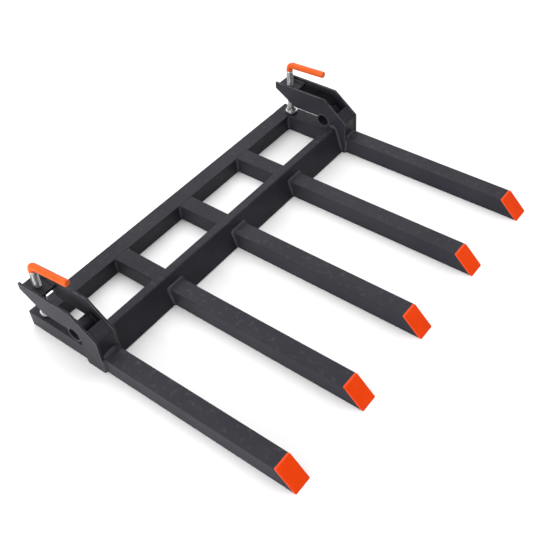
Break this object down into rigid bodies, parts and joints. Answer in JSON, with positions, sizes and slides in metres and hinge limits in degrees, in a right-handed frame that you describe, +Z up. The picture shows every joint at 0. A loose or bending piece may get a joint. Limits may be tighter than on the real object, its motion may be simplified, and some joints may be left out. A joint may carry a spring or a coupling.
{
  "type": "pallet fork attachment",
  "caption": "Clamp-on fork frame for a loader bucket, with bevel-tipped square tines and a screw clamp at each end.",
  "frame": {"origin": "middle of the footprint, on the floor under the tines", "axes": "+X along the rails to the right-hand clamp seen from behind the tips, -Y to the tine tips, +Z up"},
  "size_m": [1.078, 0.825, 0.2265],
  "materials": {
    "frame_paint": "satin charcoal powder coat",
    "tip_paint": "satin orange paint",
    "grip_vinyl": "dipped orange vinyl",
    "screw_steel": "zinc plated steel"
  },
  "bodies": {
    "frame": {"front_rail": "frame_paint", "rear_rail": "frame_paint", "tie_left": "frame_paint", "tie_centre": "frame_paint", "tie_right": "frame_paint", "jaw_tube_left": "frame_paint", "jaw_tube_right": "frame_paint", "jaw_end_left": "frame_paint", "jaw_end_right": "frame_paint", "tine_1": "frame_paint", "tine_2": "frame_paint", "tine_3": "frame_paint", "tine_4": "frame_paint", "tine_5": "frame_paint", "tine_tip_1": "tip_paint", "tine_tip_2": "tip_paint", "tine_tip_3": "tip_paint", "tine_tip_4": "tip_paint", "tine_tip_5": "tip_paint", "outer_cheek_left": "frame_paint", "inner_cheek_left": "frame_paint", "front_plate_left": "frame_paint", "throat_pipe_left": "frame_paint", "bridge_plate_left": "frame_paint", "outer_cheek_right": "frame_paint", "inner_cheek_right": "frame_paint", "front_plate_right": "frame_paint", "throat_pipe_right": "frame_paint", "bridge_plate_right": "frame_paint", "screw_nuts": "frame_paint"},
    "pad_left": {"swivel_pad_left": "screw_steel", "pad_ring_left": "screw_steel"},
    "screw_left": {"clamp_screw_left": "screw_steel", "handle_rod_left": "screw_steel", "grip_left": "grip_vinyl"},
    "pad_right": {"swivel_pad_right": "screw_steel", "pad_ring_right": "screw_steel"},
    "screw_right": {"clamp_screw_right": "screw_steel", "handle_rod_right": "screw_steel", "grip_right": "grip_vinyl"}
  },
  "joints": [
    {"name": "pad_lift_left", "type": "slide", "parent": "frame", "child": "pad_left", "axis": [0, 0, 1], "range_m": [-0.0025, 0.055]},
    {"name": "screw_turn_left", "type": "hinge", "parent": "pad_left", "child": "screw_left", "pos_m": [-0.508, 0.368, 0.1], "axis": [0, 0, 1], "range_deg": [-360, 7920]},
    {"name": "pad_lift_right", "type": "slide", "parent": "frame", "child": "pad_right", "axis": [0, 0, 1], "range_m": [-0.0025, 0.055]},
    {"name": "screw_turn_right", "type": "hinge", "parent": "pad_right", "child": "screw_right", "pos_m": [0.508, 0.368, 0.1], "axis": [0, 0, 1], "range_deg": [-360, 7920]}
  ],
  "couplings": [
    {"joint": "pad_lift_left", "follows": "screw_turn_left", "m_per_rad": 0.00039789},
    {"joint": "pad_lift_right", "follows": "screw_turn_right", "m_per_rad": 0.00039789}
  ]
}
